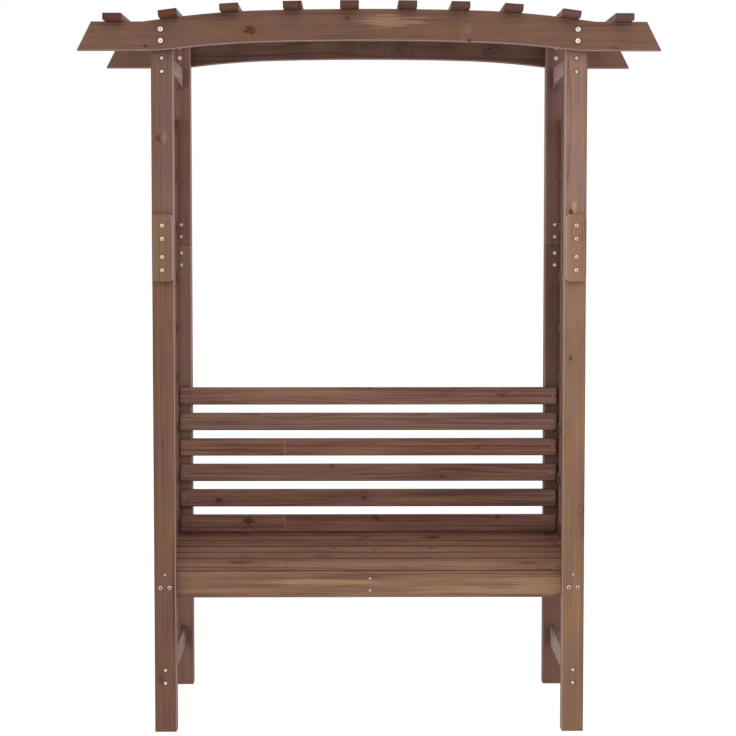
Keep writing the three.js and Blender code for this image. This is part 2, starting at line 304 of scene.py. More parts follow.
def make_softwood_group():
    inputs = [
        ("Board", "vector", (0, 0, 0)),
        ("Seed", "float", 0.0),
        ("Ring Width", "float", 0.0045),
        ("Joint Spacing", "float", 9.0),
        ("Joint Place", "float", 4.0),
        ("Finger Length", "float", 0.009),
        ("Knots", "float", 0.25),
        ("Figure", "float", 1.0),
        ("Placed Core", "float", 0.0),
        ("Placed Halo", "float", 0.0),
    ]
    outputs = [(label, "float") for label in ("Tone", "Hue", "Knot", "Joint", "Relief")]
    tree, w, given, send = new_group("sawn softwood", inputs, outputs)
    along, across, deep = w.split(given["Board"])[:3]

    # Finger joints: a comb of triangles across the board parts one length from the next.
    comb = w.math("PINGPONG", across, FINGER_PITCH / 2)
    toothed = w.add(along, w.mul(comb, w.mul(given["Finger Length"], 2 / FINGER_PITCH)))
    turns = w.math("DIVIDE", w.sub(toothed, given["Joint Place"]), given["Joint Spacing"])
    share = w.math("FRACT", turns)
    edge = w.mul(w.math("MINIMUM", share, w.sub(1.0, share)), given["Joint Spacing"])
    joint = w.step(edge, *GLUE_LINE, 1.0, 0.0)

    # Each length has a number of its own, which draws its pith and its place in the noise.
    number = w.add(w.mul(w.math("FLOOR", turns), 7.31), w.mul(given["Seed"], 1.7))
    draw = w.random(number)
    offset = w.join(w.mul(draw[0], 9.0), w.mul(draw[1], 5.0), w.mul(draw[2], 5.0))
    seed_offset = w.join(given["Seed"], w.mul(given["Seed"], 0.37), w.mul(given["Seed"], 0.71))
    point = w.vector("ADD", given["Board"], w.vector("ADD", offset, seed_offset))

    # Knots: one in some cells of a loose grid, found by the nearest cell point.
    cell = w.join(
        w.add(w.math("DIVIDE", along, KNOT_CELL[0]), w.mul(draw[2], 9.0)),
        w.add(w.math("DIVIDE", across, KNOT_CELL[1]), given["Seed"]),
    )
    nearest = w.node("ShaderNodeTexVoronoi", voronoi_dimensions="2D")
    nearest.inputs["Scale"].default_value = 1.0
    w.feed(nearest.inputs["Vector"], cell)
    gap = w.split(w.vector("SUBTRACT", cell, nearest.outputs["Position"]))
    reach = w.vector(
        "LENGTH", w.join(w.mul(gap[0], KNOT_CELL[0] * KNOT_STRETCH), w.mul(gap[1], KNOT_CELL[1]))
    )
    luck = w.node("ShaderNodeSeparateColor")
    w.feed(luck.inputs[0], nearest.outputs["Color"])
    kept = w.math("LESS_THAN", luck.outputs[0], given["Knots"])
    radius = w.add(KNOT_LEAST, w.mul(w.math("POWER", luck.outputs[1], 2.0), KNOT_MORE))
    ragged = knot_share(w, point, reach, radius)
    core = w.mul(w.step(ragged, 0.35, 1.3, 1.0, 0.0), kept)
    halo = w.mul(w.mul(w.step(ragged, 0.6, 4.0, 1.0, 0.0), kept), w.mul(radius, 1.2))
    core = w.math("MAXIMUM", core, given["Placed Core"])
    halo = w.math("MAXIMUM", halo, given["Placed Halo"])

    # Rings: the distance to a pith that wanders, counted in ring widths.
    sway = w.node("ShaderNodeSeparateColor")
    w.feed(sway.inputs[0], w.noise(point, (1.0, 4.0, 4.0))["Color"])
    ripple = w.swing(point, (6.0, 70.0, 70.0))
    pith_across = w.add(w.mul(w.sub(draw[0], 0.5), 0.11), w.mul(w.sub(sway.outputs[0], 0.5), 0.05))
    pith_deep = w.add(w.add(0.018, w.mul(draw[1], 0.05)), w.mul(w.sub(sway.outputs[1], 0.5), 0.05))
    from_pith = w.vector("LENGTH", w.join(w.sub(across, pith_across), w.add(deep, pith_deep)))
    bent = w.add(w.add(from_pith, halo), w.mul(ripple, 0.0016))
    years = w.math("DIVIDE", bent, given["Ring Width"])
    late = w.math("POWER", w.math("FRACT", years), 3.0)
    strength = w.add(0.35, w.mul(w.random(w.add(w.math("FLOOR", years), number))[0], 0.65))
    rings = w.mul(late, strength)

    # Streaks, thin pale lines, pores and broad soft patches.
    streak = w.swing(point, (1.8, 95.0, 95.0), 3.0, 0.55)
    line = w.step(w.noise(point, (3.2, 260.0, 260.0), 2.0)["Fac"], 0.60, 0.74)
    pores = w.swing(point, (14.0, 620.0, 620.0))
    patch = w.swing(point, (4.5, 15.0, 15.0))
    marks = w.add(w.mul(streak, 0.55), w.mul(line, 0.16))
    marks = w.sub(w.add(marks, w.mul(pores, 0.16)), w.mul(rings, 0.20))
    tone = w.add(0.5, w.mul(marks, given["Figure"]))
    tone = w.add(tone, w.mul(patch, 0.55))
    tone = w.add(tone, w.mul(w.sub(draw[1], 0.5), 0.12))
    hue = w.noise(point, (6.0, 26.0, 26.0), 2.0)["Fac"]
    relief = w.add(w.mul(pores, 0.8), w.sub(0.5, w.mul(rings, 0.5)))
    relief = w.sub(w.add(relief, w.mul(streak, 0.5)), w.mul(w.add(core, joint), 0.3))
    send(Tone=tone, Hue=hue, Knot=core, Joint=joint, Relief=relief)
    return tree


softwood_group = make_softwood_group()
print("group:", softwood_group.name, "with", len(softwood_group.nodes), "nodes")

# %% [markdown]
# ## Stain
# The seat is stained a reddish brown. Stain soaks in unevenly: pale bands take less, some patches
# turn mauve and some golden, knots go nearly black, glue lines stay pale and end grain drinks the
# most. Arrises are brightened, in patches for wear and painted highlight, and along one chosen side
# as painted highlight. Bands along the sides and the lower faces are darkened, mostly as painted
# shade. This group turns the figure of the wood into a colour and a roughness.

# %% The stain group


def make_stain_group():
    inputs = [
        ("Board", "vector", (0, 0, 0)),
        ("Facing", "vector", (0, 0, 0)),
        ("Tone", "float", 0.5),
        ("Hue", "float", 0.5),
        ("Knot", "float", 0.0),
        ("Joint", "float", 0.0),
        ("Colour", "colour", (0.2, 0.1, 0.07, 1)),
        ("Half Width", "float", 0.03),
        ("Half Depth", "float", 0.02),
        # Arris brightening in patches, for wear and painted highlight both; then the side whose
        # arrises get a painted highlight all along.
        ("Wear", "float", 0.4),
        ("Pale Side", "float", 0.0),
        ("Pale", "float", 0.0),
        # Darkened bands along the sides and on the lower face: mostly painted shade.
        ("Grime Above", "float", 0.0),
        ("Grime Below", "float", 0.0),
        ("Grime Reach", "float", 0.0035),
        ("Grime Side", "float", 1.0),
        ("End Rim", "float", 0.0),
    ]
    tree, w, given, send = new_group("stain", inputs, [("Colour", "colour"), ("Roughness", "float")])
    dark = w.tint(given["Colour"], (0.58, 0.53, 0.52))
    light = w.tint(given["Colour"], (1.42, 1.44, 1.42))
    low = w.blend(w.step(given["Tone"], 0.12, 0.5), dark, given["Colour"])
    colour = w.blend(w.step(given["Tone"], 0.5, 0.95), low, light)
    mauve = w.tint(colour, (1.01, 0.92, 1.03))
    golden = w.tint(colour, (1.07, 1.01, 0.83))
    colour = w.blend(w.step(given["Hue"], 0.50, 0.66), colour, mauve)
    colour = w.blend(w.step(given["Hue"], 0.50, 0.34), colour, golden)
    flame = w.tint(light, (1.25, 1.35, 1.22))
    colour = w.blend(given["Pale"], colour, flame)

    # Arris brightening: an arris is where the normal lies between two faces. In patches it stands for
    # wear and painted highlight both; on the arrises of a board's highlight side it is painted
    # highlight all along.
    normal = w.split(given["Facing"])
    between = w.math("MINIMUM", w.math("ABSOLUTE", normal[1]), w.math("ABSOLUTE", normal[2]))
    arris = w.step(between, 0.15, 0.45)
    rub_and_sheen = w.step(w.noise(given["Board"], (9.0, 60.0, 60.0), 2.0)["Fac"], 0.35, 0.6)
    lit_arris = w.step(w.mul(normal[1], given["Pale Side"]), 0.2, 0.5)
    wear_and_sheen = w.mul(arris, w.math("MAXIMUM", w.mul(rub_and_sheen, given["Wear"]), lit_arris))
    colour = w.blend(wear_and_sheen, colour, w.blend(0.6, light, (0.50, 0.38, 0.33, 1)))

    # Darkened bands along the sides where neighbouring boards face each other, and on the whole lower
    # face. On the seat and back slats, the front apron and under the top rails this is painted shade;
    # on the posts it is a thin dark line down the outer edge, and on the stretchers a darker top. The
    # side input says how much of it covers a side face itself.
    place = w.split(given["Board"])
    above = w.step(w.sub(given["Half Width"], place[1]), 0.0, given["Grime Reach"], 1.0, 0.0)
    below = w.step(w.add(given["Half Width"], place[1]), 0.0, given["Grime Reach"], 1.0, 0.0)
    below = w.math("MAXIMUM", below, w.step(normal[1], -0.5, -0.9))
    darkening = w.math("MAXIMUM", w.mul(above, given["Grime Above"]), w.mul(below, given["Grime Below"]))
    side_face = w.step(w.math("ABSOLUTE", normal[1]), 0.7, 0.95)
    kept = w.sub(1.0, w.mul(side_face, w.sub(1.0, given["Grime Side"])))
    darkening = w.mul(darkening, kept)
    colour = w.blend(darkening, colour, w.tint(dark, (0.5, 0.44, 0.40)))

    # Ends: end grain drinks stain, and a rafter's sawn end has a dark rim.
    end = w.step(w.math("ABSOLUTE", normal[0]), 0.6, 0.9)
    thirsty = w.tint(colour, (0.66, 0.56, 0.54))
    colour = w.blend(w.mul(end, 0.8), colour, thirsty)
    to_side = w.sub(given["Half Width"], w.math("ABSOLUTE", place[1]))
    to_face = w.sub(given["Half Depth"], w.math("ABSOLUTE", place[2]))
    rim = w.step(w.math("MINIMUM", to_side, to_face), 0.001, 0.004, 1.0, 0.0)
    rim = w.mul(w.mul(rim, end), given["End Rim"])
    colour = w.blend(rim, colour, w.tint(dark, (0.55, 0.45, 0.45)))

    # Knots turn warm round the rim and nearly black inside, and glue lines stay pale.
    warm = w.tint(colour, (0.86, 0.73, 0.69))
    colour = w.blend(w.step(given["Knot"], 0.02, 0.35), colour, warm)
    resin = w.tint(dark, (0.56, 0.42, 0.38))
    colour = w.blend(w.step(given["Knot"], 0.3, 0.9), colour, resin)
    glue = w.tint(light, (1.35, 1.4, 1.4))
    colour = w.blend(w.mul(given["Joint"], 0.75), colour, glue)
    rough = w.step(given["Tone"], 0.2, 0.9, 0.72, 0.56)
    send(Colour=colour, Roughness=w.add(rough, w.mul(end, 0.15)))
    return tree


stain_group = make_stain_group()
print("group:", stain_group.name)

# %% [markdown]
# ## A material for each board
# No two boards of a real seat look alike, so each node has its own material: the shared groups, set
# to the board's own frame, colour and seed. A Mapping node of the texture kind carries a point of
# the whole seat into the board's frame, where x runs along the grain, y across the wide face and z
# through the thickness. What is special about a board stands in its look. Its spots are knots: a
# place along and across the board, a radius and a strength. Its flames are a place, half a length,
# half a height and a strength.

# %% The board material
BUMP_DEPTH = 0.0006
BUMP_STRENGTH = 0.7
WOOD_SPECULAR = 0.25
PLAIN_LOOK = {
    "spots": [], "flames": [], "ring": 0.0045, "spacing": 9.0, "joint": 4.0, "finger": 0.009,
    "knots": 0.2, "figure": 1.0, "wear_and_sheen": 0.3, "highlight_side": 0.0, "rim": 0.0,
    "darken_above": 0.0, "darken_below": 0.0, "darken_reach": 0.0035, "darken_side": 1.0,
}


def board_frame(grain, across):
    """The turn whose x axis is the grain and whose y axis lies across the wide face."""
    x, y = Vector(grain).normalized(), Vector(across).normalized()
    return Matrix((x, y, x.cross(y))).transposed().to_euler()


def place_board(w, centre, turn):
    """A point and a normal of the seat, seen in the frame of the board at centre with that turn."""
    source = w.node("ShaderNodeTexCoord")
    point = w.node("ShaderNodeMapping", vector_type="TEXTURE")
    w.feed(point.inputs["Vector"], source.outputs["Object"])
    point.inputs["Location"].default_value = centre
    point.inputs["Rotation"].default_value = turn
    facing = w.node("ShaderNodeMapping", vector_type="TEXTURE")
    w.feed(facing.inputs["Vector"], source.outputs["Normal"])
    facing.inputs["Rotation"].default_value = turn
    return point.outputs[0], facing.outputs[0]


def use_group(w, tree, **values):
    """Places a group in a tree and feeds its inputs, whose names have spaces for underscores."""
    made = w.node("ShaderNodeGroup", node_tree=tree)
    for label, value in values.items():
        w.feed(made.inputs[label.replace("_", " ")], value)
    return made.outputs


def stained_board(w, centre, turn, look):
    """The colour, roughness and relief of one board. What its look leaves out is plain."""
    look = {**PLAIN_LOOK, **look}
    board, facing = place_board(w, centre, turn)
    core, halo = 0.0, 0.0
    for along, across, radius, strength in look["spots"]:
        knot = use_group(
            w, knot_group, Board=board, Along=along, Across=across, Radius=radius,
            Strength=strength, Core_Before=core, Halo_Before=halo,
        )
        core, halo = knot["Core"], knot["Halo"]
    pale = 0.0
    for along, across, half_length, half_height, strength in look["flames"]:
        flame = use_group(
            w, flame_group, Board=board, Along=along, Across=across, Half_Length=half_length,
            Half_Height=half_height, Strength=strength, Pale_Before=pale,
        )
        pale = flame["Pale"]
    figure = use_group(
        w, softwood_group, Board=board, Seed=look["seed"], Ring_Width=look["ring"],
        Joint_Spacing=look["spacing"], Joint_Place=look["joint"], Finger_Length=look["finger"],
        Knots=look["knots"], Figure=look["figure"], Placed_Core=core, Placed_Halo=halo,
    )
    stain = use_group(
        w, stain_group, Board=board, Facing=facing, Tone=figure["Tone"], Hue=figure["Hue"],
        Knot=figure["Knot"], Joint=figure["Joint"], Colour=srgb(look["colour"]),
        Half_Width=look["half"][0], Half_Depth=look["half"][1], Wear=look["wear_and_sheen"],
        Pale_Side=look["highlight_side"], Pale=pale, Grime_Above=look["darken_above"],
        Grime_Below=look["darken_below"], Grime_Reach=look["darken_reach"],
        Grime_Side=look["darken_side"], End_Rim=look["rim"],
    )
    return stain["Colour"], stain["Roughness"], figure["Relief"]


def new_material(name):
    """A material with a Principled BSDF and nothing else: the material, its wires and the shader."""
    material = bpy.data.materials.new(name)
    material.use_nodes = True
    w = Wires(material.node_tree)
    shader = next(n for n in w.tree.nodes if n.type == "BSDF_PRINCIPLED")
    return material, w, shader


def finish_wood(w, shader, colour, roughness, relief):
    """Feeds what a board looks like into its shader, with the relief as a bump."""
    bump = w.node("ShaderNodeBump")
    bump.inputs["Distance"].default_value = BUMP_DEPTH
    bump.inputs["Strength"].default_value = BUMP_STRENGTH
    w.feed(bump.inputs["Height"], relief)
    w.feed(shader.inputs["Base Color"], colour)
    w.feed(shader.inputs["Roughness"], roughness)
    w.feed(shader.inputs["Normal"], bump.outputs[0])
    shader.inputs["Specular IOR Level"].default_value = WOOD_SPECULAR


def dress(node, material):
    """Gives a node of the frame its material, in place of all its slots."""
    mesh = nodes[node].data
    mesh.materials.clear()
    mesh.materials.append(material)


def middle(node):
    low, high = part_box(node)
    return (Vector(low) + Vector(high)) / 2


def halves(node, *axes):
    low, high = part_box(node)
    return [(high[axis] - low[axis]) / 2 for axis in axes]


def dress_board(node, turn, look):
    """Gives a node that is one board a stained material of its own."""
    material, w, shader = new_material(node)
    finish_wood(w, shader, *stained_board(w, middle(node), turn, look))
    dress(node, material)


print("board helpers ready")

# %% [markdown]
# ## Posts and plates
# The grain of the posts stands upright. Each length has its own tone, and the front right post is
# paler than the front left one. The plates are off another plank. The arrises on the inner side of
# a post carry a painted highlight, and a thin dark line runs down the outer edge.

# %% Dress the posts and plates
X, Y, Z = (1, 0, 0), (0, 1, 0), (0, 0, 1)
UPRIGHT = board_frame(Z, X)
POST_COLOURS = {
    "front_left": {"lower_post": "755344", "upper_post": "735549"},
    "front_right": {"lower_post": "866550", "upper_post": "8f7064"},
    "rear_left": {"lower_post": "856455", "upper_post": "805b4f"},
    "rear_right": {"lower_post": "694a41", "upper_post": "76564e"},
}
PLATE_COLOURS = {"left": "7e604b", "right": "99755c"}
POST_SPOTS = {
    "front_left_upper_post": [(-0.018, -0.012, 0.006, 0.9)],
    "front_right_upper_post": [(-0.211, -0.012, 0.006, 1.0)],
    "front_left_lower_post": [
        (0.126, -0.003, 0.0018, 1.0), (-0.118, 0.0, 0.0018, 1.0), (-0.515, -0.012, 0.010, 0.5),
    ],
    "front_right_lower_post": [
        (0.345, -0.010, 0.005, 0.8), (0.40, -0.024, 0.0018, 1.0), (-0.059, 0.027, 0.006, 0.7),
    ],
}
POST_FLAMES = {
    "front_left_upper_post": [(-0.004, 0.006, 0.02, 0.006, 0.6)],
    "front_right_upper_post": [(-0.190, -0.003, 0.020, 0.006, 0.7)],
    "front_right_lower_post": [(0.56, 0.0, 0.14, 0.04, 0.2)],
    "rear_right_lower_post": [(-0.50, 0.0, 0.22, 0.06, 0.5)],
}
# Per side: the inner arrises get a painted highlight all along, and the outer edge a thin darkened
# line.
SIDE_LOOKS = {
    "left": {"highlight_side": 1.0, "darken_below": 0.9},
    "right": {"highlight_side": -1.0, "darken_above": 0.9},
}
SEED_STEP = 3.7
seed = 1.0
for corner, colours in POST_COLOURS.items():
    end, side = corner.split("_")
    for part in ("lower_post", "upper_post", "splice_plate"):
        node = f"{corner}_{part}"
        look = {
            "seed": seed,
            "colour": colours.get(part, PLATE_COLOURS[side]),
            "half": halves(node, 0, 1),
            "spots": POST_SPOTS.get(node, []),
            "flames": POST_FLAMES.get(node, []),
            "knots": 0.0,
            "figure": 1.3,
            "ring": 0.0055,
            "darken_side": 0.15,
            **SIDE_LOOKS[side],
        }
        dress_board(node, UPRIGHT, look)
        seed += SEED_STEP
print("posts and plates dressed")

# %% [markdown]
# ## Beams
# Each beam is cut from a wide glued plank, and one finger joint crosses it. Pale sapwood shows in
# places, and the lower arris carries a painted highlight. The broad pale patches at the rear beam's
# tails are painted light, for tails that stand lit while its middle lies in shade. The half width
# given here is more than the beam has, because the darkened bands and the dark rim know only straight
# edges and have to leave the arch alone.

# %% Dress the beams
LEVEL = board_frame(X, Z)
BEAM_HALF_WIDTH = 0.2
BEAM_SPOTS = {
    "front": [
        (-0.305, -0.002, 0.013, 0.9), (-0.575, -0.042, 0.004, 1.0), (-0.712, -0.006, 0.005, 0.5),
        (-0.052, 0.030, 0.007, 0.7), (0.268, -0.027, 0.005, 0.8), (0.647, -0.047, 0.008, 0.5),
    ],
    "rear": [(0.36, 0.0, 0.006, 0.6), (0.095, 0.0, 0.010, 0.4), (0.68, -0.045, 0.006, 0.5)],
}
# The rear beam's two flames at its tails are painted light, not sapwood.
BEAM_FLAMES_AND_LIT_TAILS = {
    "front": [
        (0.057, 0.021, 0.085, 0.015, 0.95), (0.256, 0.0, 0.010, 0.014, 0.3),
        (-0.70, -0.03, 0.13, 0.05, 0.15), (0.70, -0.03, 0.13, 0.05, 0.2),
    ],
    "rear": [(-0.69, -0.03, 0.15, 0.05, 0.8), (0.69, -0.03, 0.15, 0.05, 0.9)],
}
BEAM_LOOKS = {
    "front": {"colour": "6f4f40", "spacing": 1.3, "joint": 0.245, "knots": 0.0, "figure": 1.25},
    "rear": {"colour": "5a3e33", "spacing": 9.0, "joint": 0.585, "knots": 0.08, "figure": 2.0},
}
for end, beam_look in BEAM_LOOKS.items():
    node = f"{end}_arched_beam"
    look = {
        "seed": seed,
        "half": (BEAM_HALF_WIDTH, halves(node, 1)[0]),
        "spots": BEAM_SPOTS[end],
        "flames": BEAM_FLAMES_AND_LIT_TAILS[end],
        "ring": 0.006,
        # Painted highlight along the lower arris, for light from the floor.
        "highlight_side": -1.0,
        **beam_look,
    }
    dress_board(node, LEVEL, look)
    seed += SEED_STEP
print("beams dressed:", len(BEAM_LOOKS))

# %% [markdown]
# ## Rafters
# The rafters lie across both beams and lean with the arch, and their sawn ends face the front. How
# far each one leans is measured from its own points.

# %% Dress the rafters
RAFTER_COLOURS = (
    "6d4a39", "6b4534", "6e4e39", "71503e", "6e453c",
    "6b5247", "6b4f44", "6d4e46", "735850", "745b50",
)


def leaning_section(node):
    """The direction of a rafter's wide side, and half its width and depth, from its points: the wide
    side is the direction in the xz plane in which they spread most."""
    mesh = nodes[node].data
    points = np.empty(len(mesh.vertices) * 3)
    mesh.vertices.foreach_get("co", points)
    flat = points.reshape(-1, 3)[:, [0, 2]]
    flat = flat - (flat.max(axis=0) + flat.min(axis=0)) / 2
    wide = np.linalg.svd(flat, full_matrices=False)[2][0]
    wide = wide * np.sign(wide[0])
    across = np.array([-wide[1], wide[0]])
    return (wide[0], 0, wide[1]), [np.abs(flat @ wide).max(), np.abs(flat @ across).max()]


for number, colour in enumerate(RAFTER_COLOURS, 1):
    node = f"rafter_{number:02d}"
    wide, half = leaning_section(node)
    look = {"seed": seed, "colour": colour, "half": half, "knots": 0.1, "wear_and_sheen": 0.2, "rim": 0.8}
    dress_board(node, board_frame(Y, wide), look)
    print(node, "leans", round(math.degrees(math.asin(wide[2])), 1), [round(h, 4) for h in half])
    seed += SEED_STEP

# %% [markdown]
# ## Rails and aprons
# The top rails and the stretchers are paler and greyer than the rest: their colours hold a painted
# reflection of the white surroundings seen at a grazing angle. Painted shade darkens the lower side
# of the top rails, and the upper side of the stretchers is darkened. The front apron is streaky, with
# long pale flames, and painted shade darkens its upper edge under the seat.

# %% Dress the rails and aprons
SIDEWAYS = board_frame(Y, Z)
# Dark patches drawn with the knot group: near the rear end of each stretcher and of the right top
# rail, and a faint one on the left top rail.
RAIL_SPOTS = {
    "left_lower_stretcher": [(0.17, 0.020, 0.017, 1.0)],
    "right_lower_stretcher": [(0.15, 0.020, 0.012, 1.0)],
    "right_top_rail": [(0.16, -0.016, 0.010, 0.9)],
    "left_top_rail": [(0.02, 0.010, 0.012, 0.5)],
}
# The top rail and stretcher colours are paled and greyed: a painted reflection of the white
# surroundings at a grazing angle. The seat rails keep their own colour.
RAIL_COLOURS_WITH_SHEEN = {
    "left": {"top_rail": "a1867d", "lower_stretcher": "a78f7f", "seat_rail": "7a5c4e"},
    "right": {"top_rail": "9f847b", "lower_stretcher": "b29a8a", "seat_rail": "7a5c4e"},
}
# Painted shade under the top rails; the tops of the stretchers darkened.
RAIL_DARKENING = {"top_rail": {"darken_below": 0.8}, "lower_stretcher": {"darken_above": 0.85}}
for side, colours in RAIL_COLOURS_WITH_SHEEN.items():
    for part, colour in colours.items():
        node = f"{side}_{part}"
        look = {
            "seed": seed,
            "colour": colour,
            "half": halves(node, 2, 0),
            "spots": RAIL_SPOTS.get(node, []),
            "knots": 0.1,
            **RAIL_DARKENING.get(part, {}),
        }
        dress_board(node, SIDEWAYS, look)
        seed += SEED_STEP

look = {"seed": seed, "colour": "6a5045", "half": halves("centre_bearer", 2, 0)}
dress_board("centre_bearer", SIDEWAYS, look)
APRON_FLAMES = [
    (-0.12, 0.006, 0.13, 0.009, 0.5), (0.33, -0.018, 0.26, 0.010, 0.5),
    (0.42, 0.012, 0.14, 0.006, 0.4), (0.47, -0.012, 0.12, 0.020, 0.6),
    (0.22, 0.000, 0.25, 0.030, 0.2), (-0.50, -0.018, 0.08, 0.012, 0.1),
]
APRON_LOOKS = {
    # The front apron's upper edge is darkened: painted shade under the seat.
    "front": {"colour": "866450", "flames": APRON_FLAMES, "darken_above": 0.9},
    # The rear apron's colour is paled: painted light that offsets the shade between the seat and the
    # lowest back slat.
    "rear": {"colour": "a0715d"},
}
for end, apron_look in APRON_LOOKS.items():
    node = f"{end}_apron"
    look = {
        "seed": seed + 5,
        "half": halves(node, 2, 1),
        "knots": 0.0,
        "figure": 2.2,
        **apron_look,
    }
    dress_board(node, LEVEL, look)
    seed += SEED_STEP
print("rails and aprons dressed")

# %% [markdown]
# ## Seat
# The slats of the seat are streaky, with dark lines of painted shade where they meet and on their
# lower faces. Number 1 is the front one, whose arrises are brightened more, for wear and painted
# highlight, and whose front side is not darkened.

# %% Dress the seat slats
FLAT = board_frame(X, Y)
SEAT_COLOURS = ("865f4b", "8b614a", "8b624c", "855d47", "8f6658")
SEAT_SPOTS = {
    1: [(-0.345, -0.008, 0.026, 1.0), (0.432, -0.015, 0.019, 1.0)],
    2: [(-0.12, -0.010, 0.018, 1.0), (-0.335, -0.01, 0.010, 0.9)],
    3: [(0.18, 0.01, 0.010, 1.0), (-0.09, 0.012, 0.007, 1.0), (0.02, 0.0, 0.012, 0.8)],
    5: [(0.19, 0.0, 0.020, 1.0), (0.0, 0.004, 0.012, 0.8)],
}
for number, colour in enumerate(SEAT_COLOURS, 1):
    node = f"seat_slat_{number}"
    in_front, behind = number == 1, number == len(SEAT_COLOURS)
    look = {
        "seed": seed,
        "colour": colour,
        "half": halves(node, 1, 2),
        "spots": SEAT_SPOTS.get(number, []),
        "knots": 0.0 if in_front else 0.15,
        "figure": 3.0,
        # Arris brightening: wear and painted highlight. Darkened bands: painted shade where slats
        # meet.
        "wear_and_sheen": 0.3 if in_front else 0.1,
        "darken_above": 0.0 if behind else 0.9,
        "darken_below": 0.0 if in_front else 0.9,
        "darken_reach": 0.008,
    }
    dress_board(node, FLAT, look)
    seed += SEED_STEP
print("seat slats dressed:", len(SEAT_COLOURS))

# %% [markdown]
# ## Back
# Number 1 is the lowest back slat and number 6 the highest. Two of them are glued up, and their
# joints show as thin straight lines, because the fingers lie in the thickness of the board.

# %% Dress the back slats
BACK_COLOURS = ("775449", "785649", "7a574a", "7e5a4a", "846356", "815e52")
BACK_JOINTS = {1: -0.243, 4: -0.243}
BACK_SPOTS = {
    1: [(-0.345, 0.008, 0.012, 0.95), (0.030, 0.018, 0.007, 0.95), (0.385, 0.018, 0.006, 0.8)],
    2: [(-0.007, 0.0, 0.009, 0.8), (-0.43, -0.006, 0.008, 0.95)],
    3: [(0.222, -0.012, 0.005, 0.8), (-0.102, 0.021, 0.003, 1.0)],
    4: [(0.325, 0.0, 0.008, 0.6)],
    6: [(0.395, 0.0, 0.009, 0.5), (0.01, 0.022, 0.003, 0.8)],
}
for number, colour in enumerate(BACK_COLOURS, 1):
    node = f"back_slat_{number}"
    look = {
        "seed": seed,
        "colour": colour,
        "half": halves(node, 2, 1),
        "spots": BACK_SPOTS.get(number, []),
        "knots": 0.06,
        "figure": 3.0,
        "wear_and_sheen": 0.15,
        # Painted shade: darkened bands where the slats meet and on their lower faces.
        "darken_above": 0.5,
        "darken_below": 0.5,
        "finger": 0.0004,
    }
    if number in BACK_JOINTS:
        look.update(spacing=1.4, joint=BACK_JOINTS[number])
    dress_board(node, LEVEL, look)
    seed += SEED_STEP
print("back slats dressed:", len(BACK_COLOURS))

# %% [markdown]
# ## The rear apron's upper edge
# Seen from a standing eye, no light shows between the seat and the lowest back slat: the rear apron
# rises behind that slat. The solid of the frame stops short of it, so the apron is made again here as
# a sawn board with rounded arrises, with its top behind the slat, and it takes the solid's place.

# %% Make the taller rear apron
APRON_EDGE = 2 * MM
APRON_LAP = 6 * MM
SHARP_ANGLE = math.radians(35)


def sawn_board(low, high, edge, arc=4):
    """Points and faces of a board along x between two corners. Its section is a rectangle whose
    corners are quarter circles of radius edge, and it is carried along x over four places: the two
    ends, drawn in by edge towards the middle of the section, and the two places an edge inside."""
    turn = np.linspace(0, math.pi / 2, arc)
    turns = np.concatenate([turn + k * math.pi / 2 for k in range(4)])
    half = (np.array(high) - np.array(low)) / 2
    mid = (np.array(high) + np.array(low)) / 2
    signs = np.repeat([[1, 1], [-1, 1], [-1, -1], [1, -1]], arc, axis=0)
    section = signs * (half[1:] - edge) + edge * np.stack([np.cos(turns), np.sin(turns)], axis=1)
    drawn = signs * (half[1:] - edge)
    places = np.array([-half[0], -half[0] + edge, half[0] - edge, half[0]])
    sections = (drawn, section, section, drawn)
    rings = [np.column_stack([np.full(len(s), x), s]) for x, s in zip(places, sections)]
    points = np.concatenate(rings) + mid
    around = len(section)
    j = np.arange(around)
    after = (j + 1) % around
    quad = np.stack([j, after, around + after, around + j], axis=1)
    faces = [quad + i * around for i in range(3)]
    return points, np.concatenate(faces).tolist() + [j[::-1].tolist(), (3 * around + j).tolist()]


apron_low, apron_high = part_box("rear_apron")
slat_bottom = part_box("back_slat_1")[0][2]
tall_high = (apron_high[0], apron_high[1], slat_bottom + APRON_LAP)
points, faces = sawn_board(apron_low, tall_high, APRON_EDGE)
mesh = bpy.data.meshes.new("rear_apron_board")
mesh.from_pydata(points.tolist(), [], faces)
mesh.materials.append(nodes["rear_apron"].data.materials[0])
mesh.shade_smooth()
mesh.set_sharp_from_angle(angle=SHARP_ANGLE)
tall_apron = bpy.data.objects.new("rear_apron_board", mesh)
bpy.context.scene.collection.objects.link(tall_apron)
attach(tall_apron, "root")
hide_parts("rear_apron")
print("rear apron now reaches", round(tall_high[2], 4))

# %% [markdown]
# ## Trellis
# One solid holds twelve laths of two directions, so its material holds two figures: level laths run
# from front to back, and upright ones stand on their +x side. The x of a point, compared with the
# middle of the panel, tells the layers apart.

# %% Dress the trellises
LATH_COLOURS = {"left": ("5f443a", "6b4c41"), "right": ("5f4338", "6b5046")}
LATH_LOOK = {"half": (2.0, 0.006), "knots": 0.05}


def choose(w, share, a, b):
    """a where the share is 0 and b where it is 1."""
    return w.add(w.mul(a, w.sub(1.0, share)), w.mul(b, share))


